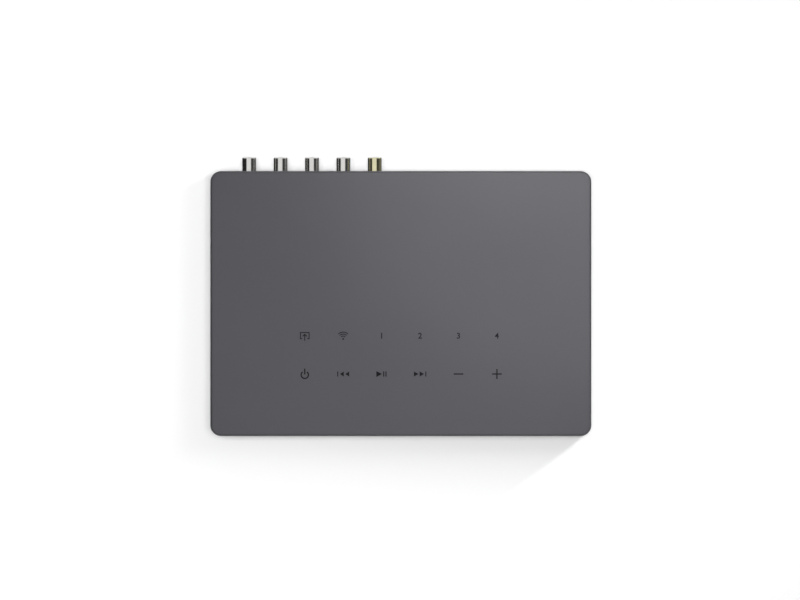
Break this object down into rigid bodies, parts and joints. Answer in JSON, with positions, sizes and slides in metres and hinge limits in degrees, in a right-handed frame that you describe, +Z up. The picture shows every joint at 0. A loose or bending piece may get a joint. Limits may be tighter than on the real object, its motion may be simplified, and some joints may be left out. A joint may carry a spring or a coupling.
{
  "type": "network music streamer",
  "caption": "Low box-shaped music streamer with touch symbols on its top and a rear row of audio, data and power sockets.",
  "frame": {"origin": "on the desk, under the middle of the overall box of the body with its phono jacks", "axes": "+X to the right seen from the front, +Y to the rear where the sockets are, +Z up"},
  "size_m": [0.23, 0.1684, 0.045],
  "materials": {
    "housing": "satin moulded",
    "base_plastic": "fine moulded grain",
    "panel_paint": "fine powder coat",
    "rubber": "matt",
    "nickel": "polished",
    "gold": "polished gold plate",
    "insert_white": "glossy",
    "insert_red": "glossy",
    "insert_orange": "glossy",
    "contact_gold": "gold flash",
    "socket_plastic": "moulded",
    "sheet_steel": "tinned",
    "dark_steel": "blackened",
    "screw_steel": "zinc plated",
    "spring_steel": "drawn wire",
    "circuit_board": "solder resist over glass laminate",
    "black_board": "black solder resist",
    "chip_black": "moulded epoxy",
    "ferrite": "pressed ferrite",
    "aluminium_can": "sleeved can",
    "foam": "open foam",
    "smoked_lens": "smoked, polished",
    "clear_lamp": "clear moulded",
    "receiver_black": "infrared-clear",
    "ribbon_white": "laminated",
    "socket_ivory": "moulded nylon",
    "antenna_copper": "black film over copper",
    "lead_grey": "extruded jacket",
    "emitter_red": "clear tinted",
    "light_green": "clear tinted"
  },
  "bodies": {
    "chassis": {"antenna_leads": "lead_grey", "antennas": "antenna_copper", "audio_chips": "chip_black", "base_cover": "base_plastic", "board_screws": "screw_steel", "capacitors": "aluminium_can", "cover_screws": "dark_steel", "digital_out_contact": "contact_gold", "digital_out_housing": "socket_plastic", "digital_out_insert": "insert_orange", "digital_out_shell": "gold", "ethernet_contacts": "contact_gold", "ethernet_insert": "socket_plastic", "ethernet_lights": "light_green", "ethernet_shield": "sheet_steel", "front_lens": "smoked_lens", "line_in_housing": "socket_plastic", "line_in_left_contact": "contact_gold", "line_in_left_insert": "insert_white", "line_in_left_shell": "nickel", "line_in_right_contact": "contact_gold", "line_in_right_insert": "insert_red", "line_in_right_shell": "nickel", "line_out_housing": "socket_plastic", "line_out_left_contact": "contact_gold", "line_out_left_insert": "insert_white", "line_out_left_shell": "nickel", "line_out_right_contact": "contact_gold", "line_out_right_insert": "insert_red", "line_out_right_shell": "nickel", "main_board": "circuit_board", "module_shield": "sheet_steel", "optical_emitter": "emitter_red", "optical_housing": "socket_plastic", "optical_shutter_spring": "spring_steel", "panel_screws": "dark_steel", "power_coils": "ferrite", "power_inlet": "socket_plastic", "power_inlet_pin": "nickel", "rear_panel": "panel_paint", "remote_receiver": "receiver_black", "ribbon_cable": "ribbon_white", "ribbon_sockets": "socket_ivory", "rubber_feet": "rubber", "setup_switch": "chip_black", "status_lamp": "clear_lamp", "streaming_module": "black_board", "top_cover": "housing", "touch_board": "black_board", "touch_board_screws": "screw_steel", "touch_controller": "chip_black", "touch_pads": "foam", "trigger_jack": "socket_plastic", "usb_contacts": "contact_gold", "usb_shell": "sheet_steel", "usb_tongue": "socket_plastic"},
    "shutter": {"optical_shutter": "socket_plastic"},
    "button": {"setup_button": "socket_plastic"}
  },
  "joints": [
    {"name": "shutter_hinge", "type": "hinge", "parent": "chassis", "child": "shutter", "pos_m": [0.00361, 0.0736, 0.02185], "axis": [-1, 0, 0], "range_deg": [0, 88], "stiffness_Nm_per_rad": 0.0003, "springref_deg": -28.65, "deforming": ["optical_shutter_spring"]},
    {"name": "button_slide", "type": "slide", "parent": "chassis", "child": "button", "axis": [0, -1, 0], "range_m": [0, 0.0004], "stiffness_N_per_m": 600, "springref_m": -0.0005}
  ]
}
